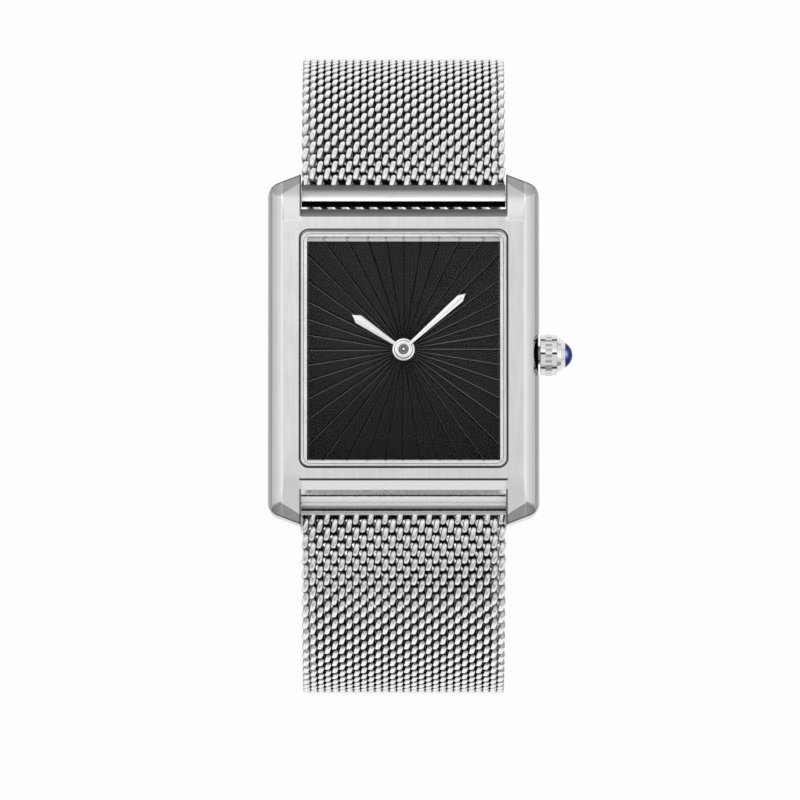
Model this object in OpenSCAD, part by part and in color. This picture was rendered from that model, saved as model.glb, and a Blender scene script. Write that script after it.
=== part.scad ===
// Rectangular wristwatch on a closed mesh bracelet that stands on its clasp, dial up.
// X runs towards the crown, Y towards twelve o'clock, Z up. The origin is on the outer face
// of the clasp cover, straight below the centre of the dial.

/* [Strap] */
// Width of the strap
strap_w = 20; // [18:0.5:22]
// Thickness of the woven mesh
mesh_t = 1.7; // [1.4:0.1:1.9]
// Height of the spring bars above the rest face
bar_z = 48; // [44:0.5:56]
// Radius of the upper arc of the loop
loop_r = 31.6; // [30:0.2:33]
// Largest radius of the lower bend of the loop
bend_r = 18.7; // [14:0.1:20]
// Slope of the strap where it leaves the case, in degrees
leave_angle = 30; // [26:1:34]
// Diameter of the eye of the end piece, round the spring bar
end_piece_d = 1.9; // [1.9:0.1:2.1]
// Radius of the cover of the end piece at twelve
cover_12_r = 1.9; // [1.8:0.1:2]
// Radius of the cover of the end piece at six
cover_6_r = 1.2; // [1.1:0.1:1.3]

/* [Case] */
// Width of the case without the crown
case_w = 26.6; // [26.4:0.1:29]
// Length of the case body on top, between the strap ends
body_len = 26; // [25.6:0.1:27]
// Gap between the case body and the eye of the end piece
strap_gap = 0.45; // [0.4:0.05:0.6]
// Reach of the lugs beyond the spring bars
lug_reach = 2; // [1.8:0.1:2.6]
// Height of the case middle
case_h = 5.8; // [5.8:0.1:7]
// Reach of the slope at each end of the body
end_slope = 0.8; // [0.7:0.1:1.1]
// Drop of the slope at each end of the body
end_drop = 1.4; // [1:0.1:2]
// Radius of the lug corners seen from above
lug_r = 1.6; // [1.2:0.1:1.6]
// Slant of the lug tips seen from above, in degrees
lug_slant = 21; // [15:1:25]
// Width of the top bevel on each side bar
bevel_w = 1; // [0.6:0.1:1.2]
// Drop of the top bevel on each side bar
bevel_drop = 0.8; // [0.4:0.1:1.2]
// Bulge of the case flank
flank_bulge = 0.6; // [0.3:0.05:0.8]
// Height of the spring bars above the underside of the case middle
bar_rise = 1.6; // [1.4:0.1:2.2]
// Thickness of the case back
back_t = 0.8; // [0.7:0.05:1]
// How far the case back stands out below the case middle
back_proud = 0.4; // [0.3:0.05:0.5]

/* [Crystal and dial] */
// Width of the crystal
crystal_w = 20.1; // [19.9:0.1:20.2]
// Length of the crystal
crystal_len = 23.1; // [22.9:0.1:23.2]
// Thickness of the crystal
crystal_t = 1.1; // [0.8:0.1:1.2]
// How far the crystal stands out above the side bars
crystal_proud = 0.4; // [0.2:0.1:0.5]
// Wall of the crystal gasket
gasket_t = 0.2; // [0.15:0.05:0.25]
// Width of the dial opening inside the ring
dial_open_w = 18.6; // [18.2:0.1:18.8]
// Length of the dial opening inside the ring
dial_open_len = 21.7; // [21.3:0.1:21.8]
// Height from the dial to the underside of the crystal
ring_h = 1.3; // [1.3:0.05:1.5]
// Thickness of the dial
dial_t = 0.4; // [0.3:0.05:0.4]
// Number of radial grooves in the dial
groove_count = 40; // [24:4:60]
// Width of one dial groove
groove_w = 0.3; // [0.2:0.02:0.36]
// Depth of one dial groove
groove_depth = 0.14; // [0.08:0.02:0.2]

/* [Hands] */
// Length of the hour hand
hour_len = 6.1; // [5:0.1:7.5]
// Greatest width of the hour hand
hour_w = 0.98; // [0.7:0.01:1.2]
// Width of the hour hand where it leaves its hub
hour_neck = 0.38; // [0.3:0.01:0.7]
// Length of the minute hand
minute_len = 8.2; // [7.6:0.1:8.8]
// Greatest width of the minute hand
minute_w = 0.84; // [0.6:0.01:1.1]
// Width of the minute hand where it leaves its hub
minute_neck = 0.32; // [0.3:0.01:0.6]
// Thickness of a hand
hand_t = 0.15; // [0.1:0.01:0.18]
// Hour shown
show_hour = 10; // [0:1:11]
// Minute shown
show_minute = 8; // [0:1:59]

/* [Crown] */
// Radius of the toothed ring of the crown
crown_r = 2.05; // [1.8:0.05:2.2]
// Length of the crown without the cabochon
crown_len = 2.42; // [2.3:0.02:2.6]
// Place of the stem along the case, from the centre towards twelve
stem_y = -0.4; // [-0.6:0.1:0]
// Travel of the crown when it is pulled
crown_travel = 1; // [0.6:0.1:1]
// Radius of the cabochon
cabochon_r = 1.22; // [1:0.02:1.3]
// Height of the cabochon
cabochon_h = 0.73; // [0.5:0.01:0.9]

/* [Clasp] */
// Thickness of the clasp cover
cover_t = 0.6; // [0.5:0.05:0.7]
// Reach of the clasp cover beyond the centre of the watch
cover_reach = 6; // [5:0.5:8]
// Length of the clasp body along the strap
clasp_len = 10.6; // [9.6:0.1:10.6]
// Sheet thickness of the clasp body
clasp_wall = 0.4; // [0.3:0.05:0.45]
// Diameter of the clasp hinge pin
clasp_pin_d = 1; // [0.8:0.05:1.1]
// Diameter of the bar that the hook holds
hook_bar_d = 1; // [0.8:0.05:1.1]
// Width of the hook
hook_w = 14; // [12:0.5:14.5]

/* [Movement] */
// Width of the movement
move_w = 15.15; // [15:0.05:15.3]
// Length of the movement
move_len = 17.8; // [17.6:0.1:18]
// Battery diameter
battery_d = 6.8; // [6.6:0.05:6.8]
// Battery height
battery_h = 2.15; // [1.6:0.05:2.15]

/* [Hidden] */
$fn = 48;

// Clearances
slip = 0.05;        // between flat pieces that slide in or past each other
run = 0.02;         // radial play of a shaft in its bore
lift = 0.25;        // between the plates of the clasp that fold over each other
eps = 0.01;         // overlap of cutters

// Heights, from the case middle up and down
case_z0 = bar_z - bar_rise;
case_z1 = case_z0 + case_h;
back_z0 = case_z0 - back_proud;
back_z1 = back_z0 + back_t;
crystal_z1 = case_z1 + crystal_proud;
crystal_z0 = crystal_z1 - crystal_t;
dial_z1 = crystal_z0 - ring_h;
dial_z0 = dial_z1 - dial_t;
motion_h = 0.6;     // space of the motion work between the dial and the main plate
plate_t = 0.6;      // main plate
train_h = 0.9;      // space of the gear train
bridge_t = 0.4;     // train bridge
plate_z1 = dial_z0 - motion_h;
plate_z0 = plate_z1 - plate_t;
bridge_z1 = plate_z0 - train_h;
bridge_z0 = bridge_z1 - bridge_t;
stem_z = (plate_z0 + plate_z1) / 2;
body_top = case_z1 - 0.2;       // top of the body between the side bars
hour_z = dial_z1 + 0.3;         // underside of the hour hand
minute_z = hour_z + hand_t + 0.2;
post_z1 = minute_z + hand_t + 0.15;

// Plan sizes of the case and of what lies in it
lug_gap = strap_w + 2 * slip;
body_y = body_len / 2 + end_slope;
bar_y = body_y + strap_gap + end_piece_d / 2;
lug_end = bar_y + lug_reach;
case_len = 2 * lug_end;
open_w = crystal_w - 0.5;       // opening below the crystal seat
open_len = crystal_len - 0.5;
open_r = 0.8;
seat_w = crystal_w + 2 * gasket_t;
seat_len = crystal_len + 2 * gasket_t;
seat_r = 1;
back_w = open_w + 2.8;
back_len = open_len + 2.6;
back_r = 1.6;
back_screw_x = open_w / 2 + 0.55;
back_screw_y = open_len / 2 + 0.4;
back_screw_r = 0.4;
back_head_r = 0.65;
back_head_h = 0.35;
back_screw_len = 1.6;
seal_in = 0.15;                 // inner edge of the back gasket, from the opening
seal_w = 0.25;
seal_h = 0.3;

// Plain helpers
function polar(r, a) = [r * cos(a), r * sin(a)];

module rounded_rect(w, h, r) {
    square([w, h - 2 * r], center = true);
    square([w - 2 * r, h], center = true);
    for (sx = [-1, 1], sy = [-1, 1])
        translate([sx * (w / 2 - r), sy * (h / 2 - r)]) circle(r);
}

// Plate with rounded corners between two heights
module plate(w, h, r, z0, z1) {
    translate([0, 0, z0]) linear_extrude(z1 - z0) rounded_rect(w, h, r);
}

// Round bar between two heights
module post(p, r, z0, z1) {
    translate([p[0], p[1], z0]) cylinder(r = r, h = z1 - z0);
}

// Round bar along X between two places
module bar_x(y, z, r, x0, x1) {
    translate([x0, y, z]) rotate([0, 90, 0]) cylinder(r = r, h = x1 - x0);
}

// Block between two corners
module block(a, b) {
    translate(a) cube(b - a);
}

// Extrudes a drawing of the Y-Z plane along X between two places
module across(x0, x1) {
    translate([x0, 0, 0]) rotate([90, 0, 90]) linear_extrude(x1 - x0) children();
}

// Extrudes a drawing of the X-Z plane along Y, as deep as d on both sides
module along(d) {
    translate([0, d, 0]) rotate([90, 0, 0]) linear_extrude(2 * d) children();
}

// Gear teeth: straight flanks, tooth centred on the angle turn
tooth_h = 0.8;          // in modules, above and below the pitch circle
tooth_root = 1.15;
function gear_points(n, m, turn) = [
    for (i = [0 : n - 1], c = [[-0.3, -tooth_root], [-0.12, tooth_h], [0.12, tooth_h], [0.3, -tooth_root]])
        polar(m * (n / 2 + c[1]), turn + 360 / n * (i + c[0]))
];

module gear(p, n, m, turn, bore, z0, z1) {
    translate([p[0], p[1], z0]) linear_extrude(z1 - z0) difference() {
        polygon(gear_points(n, m, turn));
        if (bore > 0) circle(bore);
    }
}

// Turn of a gear of nb teeth that meshes with one of na teeth and turn ra, seen at angle phi
function mate(phi, na, ra, nb) = phi + 180 - (0.5 - (phi - ra) * na / 360) * 360 / nb;

// Case

flank_h = case_h - bevel_drop;
flank_r = (flank_h * flank_h / 4 + flank_bulge * flank_bulge) / (2 * flank_bulge);
flank_x = case_w / 2 - flank_bulge;     // where flank and bevel meet
lug_cx = case_w / 2 - lug_r;            // centre of the lug corner, the tip slants off round it
lug_cy = lug_end - (lug_r + sin(lug_slant) * (lug_cx - lug_gap / 2)) / cos(lug_slant);
lug_slope = bevel_drop / bevel_w;       // the lug facet carries the bevel round the corner
facet_z0 = case_z1 - (bevel_w + flank_bulge) * lug_slope;
lug_flat_y = lug_end - 4.7;             // the side bars curve down from here
lug_curve_r = 12;
lug_under = 1.3;                        // bevel under the lug tips
tip_r = 0.4;                            // tips of the spring bars
tip_reach = 0.85;
bar_tube_r = 0.68;
tube_r = 0.9;                           // crown tube
tube_bore_r = 0.5;
tube_out = 1;                           // crown tube beyond the flank

module side_bar_section() {
    polygon([
        [-flank_x, case_z0], [flank_x, case_z0], [flank_x, case_z1 - bevel_drop],
        [flank_x - bevel_w, case_z1], [bevel_w - flank_x, case_z1],
        [-flank_x, case_z1 - bevel_drop]
    ]);
    for (s = [-1, 1]) intersection() {
        translate([s * (case_w / 2 - flank_r), case_z0 + flank_h / 2]) circle(flank_r, $fn = 180);
        translate([s * flank_x - 1, case_z0]) square([2, flank_h]);
    }
}

module side_bar_profile() {
    under_y = lug_end - lug_under;
    polygon([
        [-under_y, case_z0], [under_y, case_z0], [lug_end, case_z0 + lug_under],
        [lug_end, case_z1 - 2], [lug_flat_y, case_z1], [-lug_flat_y, case_z1],
        [-lug_end, case_z1 - 2], [-lug_end, case_z0 + lug_under]
    ]);
    for (s = [-1, 1]) intersection() {
        translate([s * lug_flat_y, case_z1 - lug_curve_r]) circle(lug_curve_r, $fn = 180);
        translate([s * (lug_end + lug_flat_y) / 2 - (lug_end - lug_flat_y) / 2, case_z1 - 2.5])
            square([lug_end - lug_flat_y, 2.5]);
    }
}

// What is cut from one lug: the round corner with its facet, and the slanted tip with its own
module lug_cut() {
    top_r = 0.05;
    top = facet_z0 + (lug_r - top_r) * lug_slope;
    far = 3 * lug_r;
    translate([lug_cx, lug_cy, 0]) {
        difference() {
            translate([0, 0, case_z0 - 1]) linear_extrude(top - case_z0 + 1)
                polygon([[0, 0], [far, 0], [far, far], polar(far, 90 - lug_slant)]);
            post([0, 0], lug_r, case_z0 - 2, facet_z0);
            translate([0, 0, facet_z0]) cylinder(r1 = lug_r, r2 = top_r, h = top - facet_z0);
        }
        rotate([0, 0, -lug_slant]) across(-far, eps) polygon([
            [lug_r, case_z0 - 1], [far, case_z0 - 1], [far, top], [top_r, top], [lug_r, facet_z0]
        ]);
    }
}

module body_profile() {
    polygon([
        [-body_y, case_z0], [body_y, case_z0], [body_y, body_top - end_drop],
        [body_len / 2, body_top], [-body_len / 2, body_top], [-body_y, body_top - end_drop]
    ]);
}

module case_middle() {
    color("silver") difference() {
        union() {
            difference() {
                intersection() {
                    along(lug_end) side_bar_section();
                    across(-case_w / 2, case_w / 2) side_bar_profile();
                }
                block([-lug_gap / 2, -lug_end - 1, case_z0 - 1], [lug_gap / 2, lug_end + 1, case_z1 + 1]);
                for (sx = [0, 1], sy = [0, 1]) mirror([sx, 0, 0]) mirror([0, sy, 0]) lug_cut();
            }
            across(-lug_gap / 2 - 1, lug_gap / 2 + 1) body_profile();
        }
        plate(seat_w, seat_len, seat_r, crystal_z0, case_z1 + 1);
        plate(open_w, open_len, open_r, case_z0 - 1, crystal_z0 + eps);
        plate(back_w + slip, back_len + slip, back_r, case_z0 - 1, back_z1);
        seal_groove();
        for (p = back_screw_places) post(p, back_screw_r, back_z1 - eps, back_z1 + back_screw_len);
        bar_x(stem_y, stem_z, tube_r, 0, case_w);
        bar_x(stem_y, stem_z, crown_r + 0.25, case_w / 2 - 0.12, case_w);
        for (sy = [-1, 1])
            bar_x(sy * bar_y, bar_z, tip_r + slip, -lug_gap / 2 - tip_reach - slip,
                lug_gap / 2 + tip_reach + slip);
    }
}

back_screw_places = [
    for (sx = [-1, 1], sy = [-1, 1]) [sx * back_screw_x, sy * back_screw_y]
];

module seal_ring() {
    difference() {
        rounded_rect(open_w + 2 * (seal_in + seal_w), open_len + 2 * (seal_in + seal_w), 1.2);
        rounded_rect(open_w + 2 * seal_in, open_len + 2 * seal_in, 1);
    }
}

module seal_groove() {
    translate([0, 0, back_z1]) linear_extrude(seal_h) seal_ring();
}

module case_back_gasket() {
    color("black") seal_groove();
}

module case_back() {
    color("silver") difference() {
        plate(back_w, back_len, back_r - slip / 2, back_z0, back_z1);
        for (p = back_screw_places) {
            post(p, back_screw_r + run, back_z0 - 1, back_z1 + 1);
            post(p, back_head_r + run, back_z0 - 1, back_z0 + back_head_h);
        }
    }
}

module screw(p, thread_r, head_r, z0, head_h, len) {
    difference() {
        union() {
            post(p, head_r, z0, z0 + head_h);
            post(p, thread_r, z0 + head_h - eps, z0 + len);
        }
        block([p[0] - head_r - 1, p[1] - 0.08, z0 - 1], [p[0] + head_r + 1, p[1] + 0.08, z0 + head_h / 2]);
    }
}

module case_back_screws() {
    color("gray") for (p = back_screw_places)
        screw(p, back_screw_r, back_head_r, back_z0, back_head_h, back_t + back_screw_len);
}

module crown_tube() {
    color("silver") difference() {
        bar_x(stem_y, stem_z, tube_r, open_w / 2, case_w / 2 + tube_out);
        bar_x(stem_y, stem_z, tube_bore_r, 0, case_w);
    }
}

module crystal() {
    color("lightblue", 0.35) plate(crystal_w, crystal_len, seat_r - gasket_t, crystal_z0, crystal_z1);
}

module crystal_gasket() {
    color("black") difference() {
        plate(seat_w, seat_len, seat_r, crystal_z0, case_z1 - 0.1);
        plate(crystal_w, crystal_len, seat_r - gasket_t, crystal_z0 - 1, case_z1 + 1);
    }
}

// The ring slopes from the crystal down to the edge of the dial
ring_slope = 0.15;
module dial_ring() {
    w = dial_open_w / 2;
    h = dial_open_len / 2;
    z1 = crystal_z0 - slip;
    color("gainsboro") difference() {
        plate(open_w - 2 * slip, open_len - 2 * slip, open_r - slip, dial_z1, z1);
        intersection() {
            along(case_len) polygon([
                [-w - eps, dial_z1 - eps], [w + eps, dial_z1 - eps],
                [w + ring_slope, z1 + eps], [-w - ring_slope, z1 + eps]
            ]);
            across(-case_w, case_w) polygon([
                [-h - eps, dial_z1 - eps], [h + eps, dial_z1 - eps],
                [h + ring_slope, z1 + eps], [-h - ring_slope, z1 + eps]
            ]);
        }
    }
}

post_r = 0.41;          // cannon pinion where the minute hand sits
hour_hub_r = 1.115;
minute_hub_r = 0.875;
hand_tip = 0.75;        // length of the point of a hand
groove_in = 1;          // the grooves run in under the hub of the hour hand
pipe_r = 0.75;          // pipe of the hour wheel
module dial() {
    color([0.16, 0.16, 0.17]) difference() {
        plate(open_w - 2 * slip, open_len - 2 * slip, open_r - slip, dial_z0, dial_z1);
        for (i = [0 : groove_count - 1]) rotate([0, 0, 360 / groove_count * i])
            across(groove_in, case_len) polygon([
                [-groove_w / 2, dial_z1 + eps], [0, dial_z1 - groove_depth],
                [groove_w / 2, dial_z1 + eps]
            ]);
        post([0, 0], pipe_r + slip, dial_z0 - 1, dial_z1 + 1);
    }
}

// A sword hand: it widens from the hub to the shoulder and ends in a point
module hand(len, wide, narrow, hub_r, bore_r, turn, z) {
    translate([0, 0, z]) rotate([0, 0, -turn]) linear_extrude(hand_t) difference() {
        union() {
            circle(hub_r);
            polygon([
                [-narrow / 2, hub_r / 2], [narrow / 2, hub_r / 2], [wide / 2, len - hand_tip],
                [0, len], [-wide / 2, len - hand_tip]
            ]);
        }
        circle(bore_r);
    }
}

minute_turn = show_minute * 6;
hour_turn = show_hour * 30 + show_minute / 2;
module hour_hand() {
    color("white") hand(hour_len, hour_w, hour_neck, hour_hub_r, pipe_r, hour_turn, hour_z);
}
module minute_hand() {
    color("white") hand(minute_len, minute_w, minute_neck, minute_hub_r, post_r, minute_turn, minute_z);
}

// Movement: places of the arbors, seen from the dial side

gear_m = 0.1;           // module of the centre wheel and the cannon pinion
hour_m = 0.096;         // module of the hour wheel and its pinion
fine_m = 0.08;          // module of the fast wheels
cannon_n = 12;
minute_n = 36;
minute_pinion_n = 10;
hour_n = 40;
setting_n = 18;
center_n = 60;
third_pinion_n = 10;
third_n = 45;
inter_pinion_n = 9;
inter_n = 24;
rotor_n = 8;
minute_phi = 45;
setting_phi = -30;
third_phi = 150;
inter_phi = 100;
rotor_phi = 20;
minute_p = polar(gear_m * (cannon_n + minute_n) / 2, minute_phi);
setting_p = minute_p + polar(gear_m * (minute_n + setting_n) / 2, setting_phi);
third_p = polar(gear_m * (center_n + third_pinion_n) / 2, third_phi);
inter_p = third_p + polar(fine_m * (third_n + inter_pinion_n) / 2, inter_phi);
rotor_p = inter_p + polar(fine_m * (inter_n + rotor_n) / 2, rotor_phi);
minute_wheel_turn = mate(minute_phi, cannon_n, 0, minute_n);
pivot_r = 0.15;
arbor_r = 0.25;
stud_r = 0.25;
wheel_t = 0.15;
rim_w = 0.5;            // rim of the main plate that carries the dial
corner_r = 0.4;
battery_edge = [0.3, 0.2];      // battery to the edges of the main plate
battery_p = battery_edge + [(battery_d - move_w) / 2, (battery_d - move_len) / 2];
pillars = [[-6.3, 4], [2.5, 4.2], [-6.3, -0.8]];
pillar_r = 0.6;
pillar_edge = 0.05;     // the bridge reaches this far beyond the pillars
stud_h = 0.3;           // studs of the motion work above the main plate
arbor_end = 0.4;        // arbors of the train reach this far into the main plate
small_screw_r = 0.2;
small_head_r = 0.42;
core_head_r = 0.34;     // screws that hold the coil core
small_head_h = 0.15;
small_bite = 0.75;      // thread of a small screw in its pillar
core_bite = 0.6;
stator_z0 = plate_z0 - 0.75;
stator_z1 = plate_z0 - 0.55;
core_z1 = stator_z1 + 0.3;
coil_r = 0.8;
coil_half = 5.2;
coil_y = move_len / 2 - 1.3;
coil_z = (stator_z1 + core_z1) / 2;
core_half = 6.6;
core_w = 0.6;
leg_w = 0.8;
stator_drop = 2.2;      // from the coil to the bar of the stator
stator_ring = 0.35;     // iron round the hole for the rotor
stator_play = 0.2;      // clear of the third wheel
inter_hole_r = 0.55;
rotor_hole_r = 0.7;
magnet_r = 0.6;
stator_places = [[leg_w / 2 - core_half, coil_y], [core_half - leg_w / 2, coil_y]];
clamp_t = 0.15;
clamp_w = 1;
clamp_len = 1.5;        // spring strip beyond the middle of the battery
clamp_foot = 0.6;
clamp_z0 = plate_z1 - battery_h - clamp_t;
board_t = 0.2;
board_x0 = 0.4;
board_y1 = -3.5;
board_edge = 0.3;       // board and battery to the edge of the main plate
chip_h = 0.4;
chip_w = 1.8;
chip_p = [2.9, -4.7];
can_r = 0.5;            // quartz crystal in its round can
can_x0 = 1.2;
can_len = 4.8;
can_edge = 1.3;

// Stem and what works on it
stem_r = 0.45;
square_w = 0.44;
square_room = 0.36;     // half the slot that the square turns in
pinion_r = 0.7;
pinion_len = 0.7;
pinion_room = 0.12;
pinion_gap = 0.085;     // sliding pinion to the setting wheel while the crown is pushed in
pinion_x0 = setting_p[0] + gear_m * (setting_n / 2 + tooth_h) + pinion_gap;
pinion_x1 = pinion_x0 + pinion_len;
square_x0 = pinion_x0 - 0.7;
square_x1 = pinion_x1 + 0.3;
pilot_x = square_x0 - 0.8;
pilot_end = 0.2;        // bore beyond the end of the pilot
groove_x = square_x1 + 0.4;     // middle of the groove that the setting lever rides in
groove_len = 0.5;
groove_r = 0.25;
lever_arm = 2;
lever_boss_r = 0.5;
lever_w = 0.4;
lever_room = 0.6;       // half the slot in the holder for the stem and the end of the lever
lever_p = [groove_x + crown_travel / 2, stem_y + lever_arm];
lever_z0 = plate_z1 + 0.22;
lever_pin_r = 0.15;

module movement_holder() {
    color([0.2, 0.2, 0.22]) difference() {
        plate(open_w - 2 * slip, open_len - 2 * slip, open_r - slip, back_z1 + 0.3, dial_z0);
        plate(move_w + 2 * slip, move_len + 2 * slip, corner_r, back_z1, dial_z0 + 1);
        block([0, stem_y - lever_room, stem_z - lever_room],
            [open_w, stem_y + lever_room, lever_z0 + wheel_t + slip]);
        block([0, stem_y, lever_z0 - slip],
            [lever_p[0] + lever_boss_r + slip, lever_p[1] + lever_boss_r + slip,
                lever_z0 + wheel_t + slip]);
    }
}

module mainplate() {
    slot_x0 = pinion_x0 - pinion_room;
    slot_x1 = pinion_x1 + 2 * pinion_room;
    color("goldenrod") difference() {
        union() {
            plate(move_w, move_len, corner_r, plate_z0, plate_z1);
            difference() {
                plate(move_w, move_len, corner_r, plate_z0, dial_z0);
                plate(move_w - 2 * rim_w, move_len - 2 * rim_w, corner_r, plate_z0 - 1, dial_z0 + 1);
            }
            for (p = pillars) post(p, pillar_r, bridge_z1, plate_z1);
            for (p = stator_places) post(p, leg_w / 2, core_z1, plate_z1);
            for (p = [minute_p, setting_p]) post(p, stud_r, plate_z0, plate_z1 + stud_h);
        }
        post(battery_p, battery_d / 2 + slip, bridge_z0, dial_z0 - 0.3);
        post([0, 0], arbor_r + run, bridge_z0, dial_z0 + 1);
        for (p = [third_p, inter_p, rotor_p]) post(p, pivot_r + run, bridge_z0, dial_z0);
        for (p = pillars) post(p, small_screw_r, bridge_z0, bridge_z1 + 1);
        for (p = stator_places) post(p, small_screw_r, bridge_z0, plate_z0 + arbor_end);
        bar_x(coil_y, coil_z, coil_r + slip, -coil_half - slip, coil_half + slip);
        bar_x(stem_y, stem_z, square_w / 2 + run, pilot_x - pilot_end, square_x0);
        block([square_x0 - slip, stem_y - square_room, plate_z0 - 1],
            [slot_x0 + eps, stem_y + square_room, dial_z0]);
        block([slot_x0, stem_y - pinion_r - pinion_room, plate_z0 - 1],
            [slot_x1, stem_y + pinion_r + pinion_room, dial_z0]);
        block([slot_x1 - eps, stem_y - stem_r - slip, plate_z0 - 1],
            [move_w, stem_y + stem_r + slip, dial_z0]);
        block([square_x1, stem_y - lever_room, plate_z1],
            [move_w, lever_p[1] + lever_boss_r + pinion_room, dial_z0 + 1]);
    }
    color("goldenrod") post(lever_p, stud_r, plate_z1 - eps, lever_z0 + wheel_t);
}

module train_bridge() {
    edge = pillar_r + pillar_edge;
    a = [pillars[0][0] - edge, pillars[2][1] - edge];
    b = [pillars[1][0] + edge, pillars[1][1] + edge];
    color("goldenrod") difference() {
        translate((a + b) / 2) plate(b[0] - a[0], b[1] - a[1], corner_r, bridge_z0, bridge_z1);
        for (p = pillars) post(p, small_screw_r + run, bridge_z0 - 1, bridge_z1 + 1);
        for (p = [third_p, inter_p, rotor_p]) post(p, pivot_r + run, bridge_z0 - 1, bridge_z1 + 1);
        post([0, 0], arbor_r + run, bridge_z0 - 1, bridge_z1 + 1);
    }
}

module movement_screws() {
    color("gray") {
        for (p = [pillars[0], pillars[1]])
            screw(p, small_screw_r, small_head_r, bridge_z0 - small_head_h, small_head_h,
                small_head_h + bridge_t + small_bite);
        screw(pillars[2], small_screw_r, small_head_r, clamp_z0, small_head_h,
            bridge_z1 - clamp_z0 + small_bite);
        for (p = stator_places)
            screw(p, small_screw_r, core_head_r, stator_z0 - small_head_h, small_head_h,
                small_head_h + core_z1 - stator_z0 + core_bite);
    }
}

module battery() {
    color("silver") post(battery_p, battery_d / 2, plate_z1 - battery_h, plate_z1);
}

// Spring strip that holds the battery, on a foot under the bridge
module battery_clamp() {
    x = pillars[2][0];
    y = pillars[2][1];
    half = clamp_w / 2;
    color("silver") difference() {
        union() {
            block([x - half, battery_p[1] - half, clamp_z0],
                [x + half, y + clamp_foot, clamp_z0 + clamp_t]);
            block([x - half, battery_p[1] - half, clamp_z0],
                [battery_p[0] + clamp_len, battery_p[1] + half, clamp_z0 + clamp_t]);
            block([x - half, y - clamp_foot, clamp_z0], [x + half, y + clamp_foot, bridge_z0]);
        }
        post([x, y], small_screw_r + run, clamp_z0 - 1, bridge_z0 + 1);
        post([x, y], small_head_r + run, clamp_z0 - 1, clamp_z0 + small_head_h);
    }
}

board_z0 = plate_z0 - board_t;
module circuit_board() {
    color("darkgreen") block([board_x0, board_edge - move_len / 2, board_z0],
        [move_w / 2 - board_edge, board_y1, plate_z0]);
}

module ic_chip() {
    half = chip_w / 2;
    color([0.1, 0.1, 0.1]) block([chip_p[0] - half, chip_p[1] - half, board_z0 - chip_h],
        [chip_p[0] + half, chip_p[1] + half, board_z0]);
}

module quartz_crystal() {
    color("silver")
        bar_x(can_edge - move_len / 2, board_z0 - can_r, can_r, can_x0, can_x0 + can_len);
}

// Soft iron plate with the hole for the rotor and two legs to the coil core
module stator() {
    bar_y0 = coil_y - stator_drop;
    color("gray") translate([0, 0, stator_z0]) linear_extrude(stator_z1 - stator_z0) difference() {
        union() {
            translate([-core_half, bar_y0]) square([2 * core_half, leg_w]);
            for (p = stator_places)
                translate([p[0] - leg_w / 2, bar_y0]) square([leg_w, coil_y + core_w / 2 - bar_y0]);
            translate(rotor_p) circle(rotor_hole_r + stator_ring);
            translate([rotor_p[0] - leg_w, rotor_p[1]]) square([2 * leg_w, bar_y0 - rotor_p[1] + slip]);
        }
        translate(rotor_p) circle(rotor_hole_r);
        translate(third_p) circle(fine_m * third_n / 2 + stator_play);
        translate(inter_p) circle(inter_hole_r);
        for (p = stator_places) translate(p) circle(small_screw_r + run);
    }
}

module coil_core() {
    color("gray") difference() {
        block([-core_half, coil_y - core_w / 2, stator_z1], [core_half, coil_y + core_w / 2, core_z1]);
        for (p = stator_places) post(p, small_screw_r + run, stator_z0, plate_z0);
    }
}

module coil() {
    color("peru") difference() {
        bar_x(coil_y, coil_z, coil_r, -coil_half, coil_half);
        block([-core_half, coil_y - core_w / 2, stator_z1], [core_half, coil_y + core_w / 2, core_z1]);
    }
}

// Motion work

module cannon_pinion() {
    color("gold") {
        gear([0, 0], cannon_n, gear_m, 0, arbor_r, plate_z1 + slip, plate_z1 + 0.3);
        difference() {
            post([0, 0], post_r, plate_z1 + slip, post_z1);
            post([0, 0], arbor_r, plate_z1 - 1, post_z1 + 1);
        }
    }
}

module hour_wheel() {
    z = plate_z1 + 0.35;
    turn = mate(minute_phi + 180, minute_pinion_n, 0, hour_n);
    color("gold") {
        gear([0, 0], hour_n, hour_m, turn, post_r + run, z, z + wheel_t);
        difference() {
            post([0, 0], pipe_r, z, hour_z + hand_t);
            post([0, 0], post_r + run, z - 1, post_z1);
        }
    }
}

module minute_wheel() {
    z = plate_z1 + slip;
    color("gold") {
        gear(minute_p, minute_n, gear_m, minute_wheel_turn, stud_r + run, z, z + wheel_t);
        gear(minute_p, minute_pinion_n, hour_m, 0, stud_r + run, z + wheel_t - eps, z + 0.47);
    }
}

module setting_wheel() {
    turn = mate(setting_phi, minute_n, minute_wheel_turn, setting_n);
    z = plate_z1 + slip;
    color("gold") gear(setting_p, setting_n, gear_m, turn, stud_r + run, z, z + wheel_t);
}

module setting_lever() {
    reach = norm([crown_travel / 2, lever_arm]);
    pin_p = [groove_x, stem_y];
    color("silver") {
        translate([0, 0, lever_z0]) linear_extrude(wheel_t) difference() {
            union() {
                translate(lever_p) circle(lever_boss_r);
                translate(pin_p) circle(lever_pin_r + 0.1);
                translate(lever_p) rotate(-90 - atan(crown_travel / 2 / lever_arm))
                    translate([0, -lever_w / 2]) square([reach, lever_w]);
            }
            translate(lever_p) circle(stud_r + run);
        }
        post(pin_p, lever_pin_r, stem_z + groove_r + 0.03, lever_z0 + eps);
    }
}

// Gear train from the rotor to the centre wheel

module arbor(p, r, z1) {
    post(p, r, bridge_z0 + slip, z1);
}

module center_wheel() {
    color("gold") {
        gear([0, 0], center_n, gear_m, 0, 0, plate_z0 - 0.35, plate_z0 - 0.35 + wheel_t);
        arbor([0, 0], arbor_r, post_z1 - slip);
    }
}

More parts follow.
